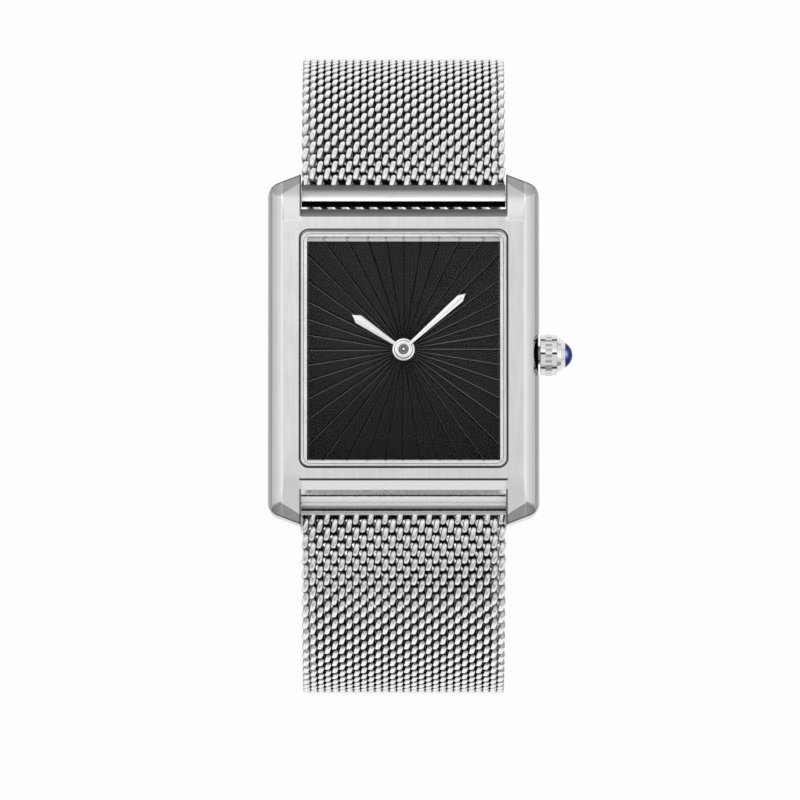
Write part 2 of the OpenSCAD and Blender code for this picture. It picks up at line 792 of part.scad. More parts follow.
module third_wheel() {
    pinion_turn = mate(third_phi, center_n, 0, third_pinion_n);
    color("gold") {
        gear(third_p, third_pinion_n, gear_m, pinion_turn, 0, plate_z0 - 0.56, plate_z0 - 0.1);
        gear(third_p, third_n, fine_m, 0, 0, plate_z0 - 0.7, plate_z0 - 0.55);
        arbor(third_p, pivot_r, plate_z0 + 0.4);
    }
}

module intermediate_wheel() {
    pinion_turn = mate(inter_phi, third_n, 0, inter_pinion_n);
    color("gold") {
        gear(inter_p, inter_pinion_n, fine_m, pinion_turn, 0, plate_z0 - 0.75, plate_z0 - 0.39);
        gear(inter_p, inter_n, fine_m, 0, 0, plate_z0 - 0.4, plate_z0 - 0.25);
        arbor(inter_p, pivot_r, plate_z0 + 0.4);
    }
}

module rotor() {
    turn = mate(rotor_phi, inter_n, 0, rotor_n);
    color("gray") {
        gear(rotor_p, rotor_n, fine_m, turn, 0, plate_z0 - 0.5, plate_z0 - 0.2);
        arbor(rotor_p, pivot_r, plate_z0 + 0.4);
    }
}

module rotor_magnet() {
    color("dimgray") difference() {
        post(rotor_p, magnet_r, plate_z0 - 0.8, plate_z0 - 0.5);
        post(rotor_p, pivot_r, plate_z0 - 1, plate_z0);
    }
}

// Crown and stem

crown_x0 = case_w / 2 + 0.1;
crown_x1 = crown_x0 + crown_len;
ring_t = 0.48;                              // the two notched rings
teeth_t = 0.65;                             // the toothed ring between them
notch_ring_r = crown_r - 0.1;
notch_w = 0.2;
notch_h = 0.24;
cap_x0 = crown_x0 + 2 * ring_t + teeth_t;
cap_mid = (cap_x0 + crown_x1) / 2;
cap_r = 1.72;                               // the cap narrows in two steps to the cabochon
cap_mid_r = 1.56;
cavity_r = tube_r + 0.3;
cavity_x1 = case_w / 2 + tube_out + slip;
stem_end = cavity_x1 + 0.55;

function knurl_points(n, r, d) = [
    for (i = [0 : n - 1], c = [[-0.3, r], [0.2, r], [0.3, r - d], [0.6, r - d]])
        polar(c[1], 360 / n * (i + c[0]))
];

module along_stem(x) {
    translate([x, stem_y, stem_z]) rotate([0, 90, 0]) children();
}

module notched_ring() {
    linear_extrude(ring_t) difference() {
        circle(notch_ring_r);
        for (i = [0 : 7]) rotate(45 * i)
            translate([notch_ring_r - notch_h, -notch_w / 2]) square([2 * notch_h, notch_w]);
    }
}

module crown() {
    color("silver") difference() {
        union() {
            along_stem(crown_x0) notched_ring();
            along_stem(crown_x0 + ring_t) linear_extrude(teeth_t)
                polygon(knurl_points(24, crown_r, 0.14));
            along_stem(crown_x0 + ring_t + teeth_t) notched_ring();
            along_stem(cap_x0) cylinder(r1 = cap_r, r2 = cap_mid_r, h = cap_mid - cap_x0);
            along_stem(cap_mid) cylinder(r1 = cap_mid_r, r2 = cabochon_r, h = crown_x1 - cap_mid);
        }
        bar_x(stem_y, stem_z, cavity_r, 0, cavity_x1);
        bar_x(stem_y, stem_z, stem_r, 0, stem_end);
    }
}

module crown_cabochon() {
    r = (cabochon_r * cabochon_r + cabochon_h * cabochon_h) / (2 * cabochon_h);
    color("midnightblue") intersection() {
        translate([crown_x1 + cabochon_h - r, stem_y, stem_z]) sphere(r, $fn = 96);
        bar_x(stem_y, stem_z, 2 * r, crown_x1, crown_x1 + 2 * r);
    }
}

module crown_gasket() {
    color("black") difference() {
        bar_x(stem_y, stem_z, cavity_r, crown_x0 + 0.15, crown_x0 + 0.45);
        bar_x(stem_y, stem_z, tube_r + run, 0, case_w);
    }
}

module stem() {
    color("silver") difference() {
        union() {
            bar_x(stem_y, stem_z, square_w / 2, pilot_x, square_x0 + eps);
            block([square_x0, stem_y - square_w / 2, stem_z - square_w / 2],
                [square_x1 + eps, stem_y + square_w / 2, stem_z + square_w / 2]);
            bar_x(stem_y, stem_z, stem_r, square_x1, stem_end);
        }
        difference() {
            bar_x(stem_y, stem_z, stem_r + 1, groove_x - groove_len / 2, groove_x + groove_len / 2);
            bar_x(stem_y, stem_z, groove_r, 0, case_w);
        }
    }
}

module sliding_pinion() {
    hole = square_w + 0.02;
    color("gold") difference() {
        along_stem(pinion_x0) linear_extrude(pinion_x1 - pinion_x0)
            polygon(knurl_points(14, pinion_r, 0.12));
        block([0, stem_y - hole / 2, stem_z - hole / 2], [case_w, stem_y + hole / 2, stem_z + hole / 2]);
    }
}

// Spring bars: a tube with a sprung tip at each end

bar_half = strap_w / 2 - 0.7;           // half the length of the tube
bar_wall = 0.17;
bar_cap = 0.3;                          // end of the tube round the tip
collar_len = 1;
collar_x1 = bar_half - bar_cap;
tip_x1 = lug_gap / 2 + tip_reach;

module spring_bar(y) {
    color("silver") difference() {
        bar_x(y, bar_z, bar_tube_r, -bar_half, bar_half);
        bar_x(y, bar_z, bar_tube_r - bar_wall, -collar_x1, collar_x1);
        bar_x(y, bar_z, tip_r + run, -bar_half - 1, bar_half + 1);
    }
}

// One sprung tip, s is 1 on the crown side and -1 on the other
module bar_tip(y, s) {
    color("silver") mirror([s < 0 ? 1 : 0, 0, 0]) {
        bar_x(y, bar_z, bar_tube_r - bar_wall - run, collar_x1 - collar_len, collar_x1);
        bar_x(y, bar_z, tip_r, collar_x1 - eps, tip_x1);
    }
}

// The hidden springs, as long as they are when both tips are pressed in
module spring_bar_springs() {
    half = collar_x1 - collar_len - tip_reach;
    color("gray") for (sy = [-1, 1]) difference() {
        bar_x(sy * bar_y, bar_z, bar_tube_r - bar_wall - run, -half, half);
        bar_x(sy * bar_y, bar_z, 0.38, -half - 1, half + 1);
    }
}

// Strap loop: an upper arc, a straight side where the loop is taller than its bends, a lower
// arc and a flat run under the wrist

strap_run = 0.55;                       // cover to the outer strap half
tail_gap = 0.3;                         // outer strap half to the inner one
strap_12_z = cover_t + strap_run + mesh_t / 2;
strap_6_z = strap_12_z + mesh_t + tail_gap;
loop_cy = bar_y - loop_r * sin(leave_angle);
loop_cz = bar_z - loop_r * cos(leave_angle);
side_y = loop_cy + loop_r;
mesh_lead = 0.5;                        // the mesh starts this far along the arc from the bar
mesh_angle = 90 - leave_angle - mesh_lead / loop_r * 180 / PI;
hook_y = 0.3;                           // the bar that the hook holds
bracket_reach = 3.7;                    // from that bar to the end of the mesh
mesh_12_end = hook_y + bracket_reach;
mesh_6_end = -1.9;
eye_r = end_piece_d / 2;
end_bore_r = bar_tube_r + 0.03;
cover_12_edge = -0.5;                   // inner edge of a cover, from the spring bar
cover_6_edge = -eye_r - 0.1;
cover_12_top = 1.3;                     // top of a cover above the spring bar
cover_6_top = 1.15;
bead_r = 0.28;                          // bead between the cover at six and the mesh
bead_p = [0.48, 0.52];
tip_len = 1.2;                          // bar that closes the end of the inner strap half
tip_proud = 0.1;

module arc_band(cy, cz, r, t, a0, a1) {
    far = 3 * r;
    intersection() {
        translate([cy, cz]) difference() {
            circle(r + t / 2, $fn = 180);
            circle(r - t / 2, $fn = 180);
        }
        translate([cy, cz]) polygon([[0, 0], polar(far, a0), polar(far, a1)]);
    }
}

// Side view of one strap half, from the end piece down to its end under the wrist
module strap_side(z, end_y) {
    low_r = min(bend_r - z + strap_12_z, loop_cz - z);
    low_z = z + low_r;
    arc_band(loop_cy, loop_cz, loop_r, mesh_t, 0, mesh_angle);
    if (low_z < loop_cz - eps)
        translate([side_y - mesh_t / 2, low_z]) square([mesh_t, loop_cz - low_z]);
    arc_band(side_y - low_r, low_z, low_r, mesh_t, -90, 0);
    translate([end_y, z - mesh_t / 2]) square([side_y - low_r - end_y, mesh_t]);
}

// Side view of an end piece: the eye, and a quarter round cover on it
module end_side(r, edge, top) {
    translate([bar_y, bar_z]) {
        circle(eye_r);
        intersection() {
            translate([edge, top - r]) circle(r, $fn = 120);
            translate([edge, 0]) square([2 * r, top]);
        }
    }
}

module end_12_side() {
    end_side(cover_12_r, cover_12_edge, cover_12_top);
}

module end_6_side() {
    end_side(cover_6_r, cover_6_edge, cover_6_top);
    translate([bar_y + bead_p[0], bar_z + bead_p[1]]) circle(bead_r);
}

module strap_12_end_piece() {
    color("silver") difference() {
        across(-strap_w / 2, strap_w / 2) end_12_side();
        bar_x(bar_y, bar_z, end_bore_r, -strap_w, strap_w);
    }
}

module strap_6_end_piece() {
    color("silver") mirror([0, 1, 0]) difference() {
        across(-strap_w / 2, strap_w / 2) end_6_side();
        bar_x(bar_y, bar_z, end_bore_r, -strap_w, strap_w);
    }
}

module strap_12_mesh() {
    color("lightgray") across(-strap_w / 2, strap_w / 2) difference() {
        strap_side(strap_12_z, mesh_12_end);
        end_12_side();
    }
}

module strap_6_mesh() {
    color("lightgray") mirror([0, 1, 0]) across(-strap_w / 2, strap_w / 2) difference() {
        strap_side(strap_6_z, -mesh_6_end);
        end_6_side();
    }
}

module strap_6_tip() {
    h = mesh_t / 2 + tip_proud;
    color("silver") block([-strap_w / 2, mesh_6_end, strap_6_z - h],
        [strap_w / 2, mesh_6_end + tip_len, strap_6_z + h]);
}

// Clasp: a body on the inner strap half, and a hook and a cover that fold out of it

hook_bar_r = hook_bar_d / 2;
arm_w = 1.6;                            // arms of the bracket
arm_x1 = strap_w / 2 - 0.4;
arm_x0 = arm_x1 - arm_w;
arm_h = 0.6;                            // half the height of the bracket
bracket_len = 1.1;
eye_len = 0.75;                         // arms beyond the bar
knuckle_r = 0.85;
ear_r = 0.8;
ear_len = 0.6;                          // hinge pin to the clasp body
pin_to_tip = 0.1;                       // clasp body to the end of the inner strap half
clasp_pin_r = clasp_pin_d / 2;
body_y1 = mesh_6_end - pin_to_tip;
body_y0 = body_y1 - clasp_len;
pin_y = body_y0 - ear_len;
pin_z = knuckle_r + slip + cover_t;
wall_x0 = strap_w / 2 + slip;
wall_x1 = wall_x0 + clasp_wall;
channel_z0 = strap_6_z - mesh_t / 2;    // the channel holds the mesh
channel_z1 = strap_6_z + mesh_t / 2;
lock_y = body_y0 + 2.6;
lock_pin_r = 0.35;
lock_knuckle_r = 0.6;
lock_z = channel_z0 - clasp_wall - lock_knuckle_r + slip;
lock_w = 11.6;
lock_room = 0.2;
lock_len = 6;
lock_t = 0.45;
cam_r = 0.4;
window_y0 = lock_y - 0.8;               // window of the clasp body for the lock lever
window_y1 = lock_y + 1.2;
hook_z0 = cover_t + lift;
hook_t = 0.5;
hook_knuckle_x = 5;
claw_gap = 0.6;                         // play between the bar and the claw
claw_y = hook_y + hook_bar_r + claw_gap;
flange_x0 = wall_x1 + 0.1;
flange_x1 = flange_x0 + clasp_wall;
flange_h = 1.8;
flange_y0 = pin_y + 1.8;
flange_y1 = cover_reach - 1;
knuckle_gap = 0.3;
hook_neck = 1.5;
claw_over = 0.2;                        // claw above the middle of the bar

module strap_12_bracket() {
    color("silver") difference() {
        union() {
            block([-arm_x1, mesh_12_end - bracket_len, strap_12_z - arm_h],
                [arm_x1, mesh_12_end, strap_12_z + arm_h]);
            for (s = [0, 1]) mirror([s, 0, 0])
                block([arm_x0, hook_y - eye_len, strap_12_z - arm_h],
                    [arm_x1, mesh_12_end, strap_12_z + arm_h]);
        }
        bar_x(hook_y, strap_12_z, hook_bar_r, -strap_w, strap_w);
    }
}

module hook_bar() {
    color("silver") bar_x(hook_y, strap_12_z, hook_bar_r, -arm_x1, arm_x1);
}

module clasp_body() {
    color("silver") difference() {
        union() {
            block([-wall_x1, body_y0, channel_z0 - clasp_wall], [wall_x1, body_y1, channel_z0]);
            block([-wall_x1, body_y0, channel_z1], [wall_x1, body_y1, channel_z1 + clasp_wall]);
            for (s = [0, 1]) mirror([s, 0, 0]) {
                block([wall_x0, body_y0, cover_t + 2 * slip], [wall_x1, body_y1, channel_z1 + clasp_wall]);
                block([wall_x0, pin_y, pin_z - ear_r], [wall_x1, body_y0 + eps, pin_z + ear_r]);
                bar_x(pin_y, pin_z, ear_r, wall_x0, wall_x1);
            }
        }
        bar_x(pin_y, pin_z, clasp_pin_r, -strap_w, strap_w);
        bar_x(lock_y, lock_z, lock_pin_r, -strap_w, strap_w);
        block([-lock_w / 2 - lock_room, window_y0, cover_t],
            [lock_w / 2 + lock_room, window_y1, channel_z0 + eps]);
    }
}

module clasp_pin() {
    color("silver") bar_x(pin_y, pin_z, clasp_pin_r, -wall_x1, wall_x1);
}

module clasp_lock_pin() {
    color("silver") bar_x(lock_y, lock_z, lock_pin_r, -wall_x1, wall_x1);
}

// Lever with a cam that presses on the mesh and fixes the clasp on the strap
module clasp_lock() {
    w = lock_w / 2;
    color("silver") difference() {
        union() {
            bar_x(lock_y, lock_z, lock_knuckle_r, -w, w);
            bar_x(lock_y, channel_z0 - cam_r - slip, cam_r, -w, w);
            block([-w, lock_y, lock_z - lock_t], [w, lock_y + lock_len, lock_z]);
        }
        bar_x(lock_y, lock_z, lock_pin_r + run, -strap_w, strap_w);
    }
}

module clasp_hook() {
    w = hook_w / 2;
    color("silver") difference() {
        union() {
            bar_x(pin_y, pin_z, knuckle_r, -hook_knuckle_x, hook_knuckle_x);
            block([-hook_knuckle_x, pin_y, hook_z0],
                [hook_knuckle_x, pin_y + hook_neck, hook_z0 + hook_t]);
            block([-w, pin_y + hook_neck - slip, hook_z0], [w, claw_y + hook_t, hook_z0 + hook_t]);
            block([-w, claw_y, hook_z0], [w, claw_y + hook_t, strap_12_z + claw_over]);
        }
        bar_x(pin_y, pin_z, clasp_pin_r + run, -strap_w, strap_w);
    }
}

module clasp_cover() {
    color("silver") block([-flange_x1, pin_y, 0], [flange_x1, cover_reach, cover_t]);
}

// Knuckles and flanges that stand on the cover plate
module clasp_cover_sides() {
    knuckle_x0 = hook_knuckle_x + knuckle_gap;
    knuckle_x1 = strap_w / 2 - 2 * slip;
    color("silver") for (s = [0, 1]) mirror([s, 0, 0]) {
        difference() {
            union() {
                bar_x(pin_y, pin_z, knuckle_r, knuckle_x0, knuckle_x1);
                block([knuckle_x0, pin_y, cover_t], [knuckle_x1, pin_y + ear_len, pin_z]);
            }
            bar_x(pin_y, pin_z, clasp_pin_r + run, -strap_w, strap_w);
        }
        block([flange_x0, flange_y0, cover_t], [flange_x1, flange_y1, cover_t + flange_h]);
    }
}

case_middle();
crystal();
crystal_gasket();
dial_ring();
dial();
case_back();
case_back_gasket();
case_back_screws();
crown_tube();
movement_holder();
mainplate();
train_bridge();
movement_screws();
battery();
battery_clamp();
circuit_board();
ic_chip();
quartz_crystal();
stator();
coil_core();
coil();
minute_hand();
cannon_pinion();
center_wheel();
hour_hand();
hour_wheel();
minute_wheel();
third_wheel();
intermediate_wheel();
rotor();
rotor_magnet();
setting_wheel();
setting_lever();
sliding_pinion();
stem();
crown();
crown_cabochon();
crown_gasket();
spring_bar(bar_y);  // spring_bar_12
spring_bar(-bar_y);  // spring_bar_6
spring_bar_springs();
bar_tip(bar_y, -1);  // bar_tip_12_left
bar_tip(bar_y, 1);  // bar_tip_12_right
bar_tip(-bar_y, -1);  // bar_tip_6_left
bar_tip(-bar_y, 1);  // bar_tip_6_right
strap_12_end_piece();
strap_12_mesh();
strap_12_bracket();
hook_bar();
strap_6_end_piece();
strap_6_mesh();
strap_6_tip();
clasp_body();
clasp_pin();
clasp_lock_pin();
clasp_hook();
clasp_cover();
clasp_cover_sides();
clasp_lock();
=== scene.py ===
import math

import bmesh
import bpy
import numpy as np
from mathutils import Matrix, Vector


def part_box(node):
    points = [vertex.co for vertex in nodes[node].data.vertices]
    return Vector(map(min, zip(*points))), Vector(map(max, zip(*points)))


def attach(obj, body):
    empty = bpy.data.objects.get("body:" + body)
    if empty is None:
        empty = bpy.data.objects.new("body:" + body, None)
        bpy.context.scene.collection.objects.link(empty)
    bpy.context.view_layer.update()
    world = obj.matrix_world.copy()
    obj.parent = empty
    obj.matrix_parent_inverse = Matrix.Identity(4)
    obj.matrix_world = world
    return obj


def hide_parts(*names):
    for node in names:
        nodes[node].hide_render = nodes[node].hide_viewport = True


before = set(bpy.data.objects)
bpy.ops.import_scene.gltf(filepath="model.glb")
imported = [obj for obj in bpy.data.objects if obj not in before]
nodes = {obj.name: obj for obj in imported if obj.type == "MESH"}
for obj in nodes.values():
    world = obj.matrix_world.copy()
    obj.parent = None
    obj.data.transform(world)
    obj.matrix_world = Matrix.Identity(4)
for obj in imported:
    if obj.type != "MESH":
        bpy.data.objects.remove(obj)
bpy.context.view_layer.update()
MM = 0.001

# The camera stands where the photograph's did, almost straight above the dial.
AZIMUTH, ELEVATION = 0.0, 85.1      # degrees
DISTANCE = 1.2                      # metres
LENS, SENSOR = 552.4, 36.0
AIM = (-0.35, -4.99, 51.0)          # millimetres

# Lines where painted shade and painted highlights on the case change, in metres from the dial's
# middle
FLANK_X = 0.01288       # painted shade on the flank
EDGE_X = 0.01179        # bevel beside the flank, with its painted highlight
LUG_GAP = 0.0102        # inner walls of the lugs, edge of the painted shade between them
SLOPE_Y = 0.0129        # painted shade on the slope at 12
WALL_Y = 0.0138         # painted shade on the end walls between the lugs
LUG_TOP_Y = 0.0126      # painted shade on the lug tops at 12
SHADE_LINE_6_Y = -0.01285     # painted dark line at 6
HAIR = 0.0001           # a soft step between two painted tones
LUG_SLANT = math.radians(21)

# The dial: its grooves, and the edges of its pale rim in metres
GROOVES = 40
GROOVE_HALF = 0.00005
RIM_X, RIM_12_Y, RIM_6_Y = 0.0093, 0.01064, -0.0108
RIM_STEP = 0.00003

GRAIN_DEPTH = 0.00001   # relief of a fine grain, in metres


def add_object(name, data):
    thing = bpy.data.objects.new(name, data)
    bpy.context.scene.collection.objects.link(thing)
    return thing


def make_camera():
    data = bpy.data.cameras.new("camera")
    data.lens = LENS
    data.sensor_width = SENSOR
    data.clip_start = 0.05
    data.clip_end = 20.0
    camera = add_object("camera", data)
    a, e = math.radians(AZIMUTH), math.radians(ELEVATION)
    back = Vector((math.sin(a) * math.cos(e), -math.cos(a) * math.cos(e), math.sin(e)))
    camera.location = Vector(AIM) * MM + back * DISTANCE
    camera.rotation_euler = back.to_track_quat("Z", "Y").to_euler()
    bpy.context.scene.camera = camera


make_camera()


# Node helpers: each adds nodes to a tree and returns an output

def place(tree, axis):
    """Distance along one axis of the watch, in metres."""
    where = tree.nodes.new("ShaderNodeTexCoord")
    split = tree.nodes.new("ShaderNodeSeparateXYZ")
    tree.links.new(where.outputs["Object"], split.inputs[0])
    return split.outputs[axis]


def noise(tree, often, detail=4.0):
    """Cloudy noise. It changes this often per metre: one number, or one for each axis."""
    where = tree.nodes.new("ShaderNodeTexCoord")
    mapping = tree.nodes.new("ShaderNodeMapping")
    mapping.inputs["Scale"].default_value = often if isinstance(often, tuple) else (often,) * 3
    tree.links.new(where.outputs["Object"], mapping.inputs["Vector"])
    cloud = tree.nodes.new("ShaderNodeTexNoise")
    cloud.inputs["Scale"].default_value = 1.0
    cloud.inputs["Detail"].default_value = detail
    tree.links.new(mapping.outputs["Vector"], cloud.inputs["Vector"])
    return cloud.outputs["Fac"]


def ramp(tree, factor, *stops):
    """A colour that changes with the factor. Each stop is a position and a colour."""
    r = tree.nodes.new("ShaderNodeValToRGB")
    elements = r.color_ramp.elements
    while len(elements) < len(stops):
        elements.new(0.5)
    for element, (at, colour) in zip(elements, stops):
        element.position = at
        element.color = (*colour, 1.0)
    tree.links.new(factor, r.inputs["Fac"])
    return r.outputs["Color"]


def grey_ramp(tree, factor, *stops):
    return ramp(tree, factor, *[(at, (level, level, level)) for at, level in stops])


def spread(tree, factor, low, high, from_low=0.3, from_high=0.7):
    """Goes from low to high while the factor goes from from_low to from_high."""
    m = tree.nodes.new("ShaderNodeMapRange")
    m.inputs["From Min"].default_value = from_low
    m.inputs["From Max"].default_value = from_high
    m.inputs["To Min"].default_value = low
    m.inputs["To Max"].default_value = high
    tree.links.new(factor, m.inputs["Value"])
    return m.outputs["Result"]


def math_node(tree, kind, *values):
    """A Math node whose inputs are numbers or other nodes' outputs."""
    m = tree.nodes.new("ShaderNodeMath")
    m.operation = kind
    for socket, value in zip(m.inputs, values):
        if isinstance(value, (int, float)):
            socket.default_value = value
        else:
            tree.links.new(value, socket)
    return m.outputs[0]


def times(tree, first, *others):
    for value in others:
        first = math_node(tree, "MULTIPLY", first, value)
    return first


def largest(tree, first, *others):
    for value in others:
        first = math_node(tree, "MAXIMUM", first, value)
    return first


def minus(tree, first, second):
    return math_node(tree, "SUBTRACT", first, second)


def absolute(tree, value):
    return math_node(tree, "ABSOLUTE", value)


def hypot(tree, x, y):
    return math_node(tree, "SQRT", math_node(tree, "ADD", times(tree, x, x), times(tree, y, y)))


def as_grey(tree, value):
    combine = tree.nodes.new("ShaderNodeCombineColor")
    for socket in combine.inputs:
        tree.links.new(value, socket)
    return combine.outputs[0]


def mix_colours(tree, kind, factor, first, second):
    """A Mix node for colours. The factor and the colours are values or other nodes' outputs."""
    mix = tree.nodes.new("ShaderNodeMix")
    mix.data_type = "RGBA"
    mix.blend_type = kind
    for name, value in (("Factor", factor), ("A", first), ("B", second)):
        if isinstance(value, (float, tuple)):
            mix.inputs[name].default_value = value
        else:
            tree.links.new(value, mix.inputs[name])
    return mix.outputs["Result"]


def shade(tree, colour, factor):
    """The colour times a factor that changes over the surface."""
    return mix_colours(tree, "MULTIPLY", 1.0, colour, as_grey(tree, factor))


def mix_shaders(tree, factor, first, second):
    mix = tree.nodes.new("ShaderNodeMixShader")
    for value, socket in zip((factor, first.outputs[0], second.outputs[0]), mix.inputs):
        tree.links.new(value, socket)
    return mix.outputs[0]


# Materials

def new_material(name):
    material = bpy.data.materials.new(name)
    material.use_nodes = True
    tree = material.node_tree
    tree.nodes.clear()
    out = tree.nodes.new("ShaderNodeOutputMaterial")
    shader = tree.nodes.new("ShaderNodeBsdfPrincipled")
    tree.links.new(shader.outputs[0], out.inputs[0])
    return material, tree, shader


def dress(tree, shader, colour, grain, smooth, rough):
    """Links the colour, and a roughness that follows the grain."""
    tree.links.new(colour, shader.inputs["Base Color"])
    tree.links.new(spread(tree, grain, smooth, rough), shader.inputs["Roughness"])


def bump(tree, shader, height, strength, depth=GRAIN_DEPTH):
    b = tree.nodes.new("ShaderNodeBump")
    b.inputs["Strength"].default_value = strength
    b.inputs["Distance"].default_value = depth
    tree.links.new(height, b.inputs["Height"])
    tree.links.new(b.outputs["Normal"], shader.inputs["Normal"])


def tint(colour, share):
    return tuple(min(1.0, c * share) for c in colour)


def metal(name, colour, rough, grain, vary, rough_vary=0.08, bump_strength=0.1,
          bump_depth=GRAIN_DEPTH, painted_light=None):
    """Metal with fine grain. The optional function gives a factor for the colour that paints shade
    and highlights onto one piece."""
    material, tree, shader = new_material(name)
    shader.inputs["Metallic"].default_value = 1.0
    fine = noise(tree, grain)
    wide = noise(tree, 260, detail=2.0)
    both = math_node(tree, "MULTIPLY_ADD", wide, 0.35, times(tree, fine, 0.65))
    base = ramp(tree, both, (0.3, tint(colour, 1 - vary)), (0.7, tint(colour, 1 + vary)))
    # Painted shade and painted highlights multiply the colour
    if painted_light:
        base = shade(tree, base, painted_light(tree))
    dress(tree, shader, base, both, max(0.02, rough - rough_vary), rough + rough_vary)
    bump(tree, shader, fine, bump_strength, bump_depth)
    return material


def plastic(name, colour, rough):
    material, tree, shader = new_material(name)
    grain = noise(tree, 4000)
    base = ramp(tree, grain, (0.3, tint(colour, 0.85)), (0.7, tint(colour, 1.15)))
    dress(tree, shader, base, grain, rough - 0.06, rough + 0.06)
    bump(tree, shader, grain, 0.2)
    return material


def case_painted_light(tree):
    """The flanks get painted shade, darker than the polished bevels and flats, and each bevel gets
    a painted highlight line. The slope at 12, the walls between the lugs and one line at 6 get
    darker painted shade still, and the lug ends and the lug tops at 12 get some."""
    x, y = place(tree, "X"), place(tree, "Y")
    out, along = absolute(tree, x), absolute(tree, y)
    # Painted shade on the flank, and a painted highlight line with painted shade across the bevel
    flank = spread(tree, out, 1.0, 0.5, FLANK_X - HAIR, FLANK_X)
    bevel = grey_ramp(tree, spread(tree, out, 0.0, 1.0, EDGE_X, FLANK_X),
                      (0.0, 1.0), (0.04, 1.22), (0.11, 1.22), (0.16, 1.06), (1.0, 0.66))

    sine, cosine = math.sin(LUG_SLANT), math.cos(LUG_SLANT)
    aside = math_node(tree, "MULTIPLY_ADD", out, sine, times(tree, along, cosine))
    corners = np.abs(np.array([v.co for v in nodes["case_middle"].data.vertices]))
    reach = float(np.max(corners[:, 0] * sine + corners[:, 1] * cosine))
    # Painted shade on the lug ends
    lug_end = spread(tree, aside, 1.0, 0.5, reach - 2 * HAIR, reach - HAIR)

    # Painted shade on the slope at 12, the end walls and a line at 6, kept between the lugs
    between = times(tree, spread(tree, out, 1.0, 0.0, LUG_GAP - 0.00004, LUG_GAP + 0.00002),
                    spread(tree, out, 1.0, 0.78, LUG_GAP - 0.00012, LUG_GAP - 0.00008))
    slope = grey_ramp(tree, spread(tree, y, 0.0, 1.0, SLOPE_Y, SLOPE_Y + 0.001),
                      (0.0, 0.0), (0.05, 0.75), (0.4, 0.88), (0.7, 0.96))
    walls = spread(tree, along, 0.0, 0.88, WALL_Y - HAIR / 2, WALL_Y + HAIR / 2)
    line_6_shade = spread(tree, absolute(tree, minus(tree, y, SHADE_LINE_6_Y)), 0.93, 0.0, 0.00007, 0.00014)
    dark = times(tree, largest(tree, slope, walls, line_6_shade), between)

    # Painted shade that tones down the lug tops at 12
    lug_top = times(tree, spread(tree, y, 0.0, 0.19, LUG_TOP_Y - HAIR, LUG_TOP_Y + HAIR),
                    spread(tree, out, 1.0, 0.0, EDGE_X, EDGE_X + HAIR),
                    minus(tree, 1.0, between))
    painted_shade = minus(tree, 1.0, largest(tree, dark, lug_top))
    return times(tree, flank, lug_end, bevel, painted_shade)


def bar_painted_light(*stops):
    """Painted light on an end piece: lit beside the case and in painted shade beside the mesh, with
    painted dark lines where it meets the case and in its creases. The stops give the factor at
    distances from the dial's middle, in millimetres."""
    near, far, waver = 14, 17, 0.12

    def painted_light(tree):
        streaks = noise(tree, (9000, 2500, 2500))
        out = absolute(tree, place(tree, "Y"))
        edge = math_node(tree, "MULTIPLY_ADD", minus(tree, streaks, 0.5), waver * MM, out)
        at = spread(tree, edge, 0.0, 1.0, near * MM, far * MM)
        return grey_ramp(tree, at, *[((y - near) / (far - near), f) for y, f in stops])
    return painted_light


def knurl_painted_shade(tree):
    """Painted shade on the crown, down in its notches and between its teeth."""
    low, high = [np.array(v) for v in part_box("crown")]
    start, middle = float(low[0]), (low + high) / 2
    tooth_x = start + 0.000805      # middle of the toothed ring
    cap_x = start + 0.00162         # foot of the cone
    notch_r = 0.0018                # radius down in the notches
    x = place(tree, "X")
    radius = hypot(tree, minus(tree, place(tree, "Y"), float(middle[1])),
                   minus(tree, place(tree, "Z"), float(middle[2])))
    # Painted shade in the notches and between the teeth
    teeth = spread(tree, absolute(tree, minus(tree, x, tooth_x)), 0.00006, 0.0, 0.00032, 0.00033)
    deep = spread(tree, minus(tree, radius, teeth), 0.06, 1.0, notch_r, notch_r + 0.00008)
    cap = spread(tree, x, 0.0, 1.0, cap_x, cap_x + 0.00003)
    return largest(tree, deep, cap)


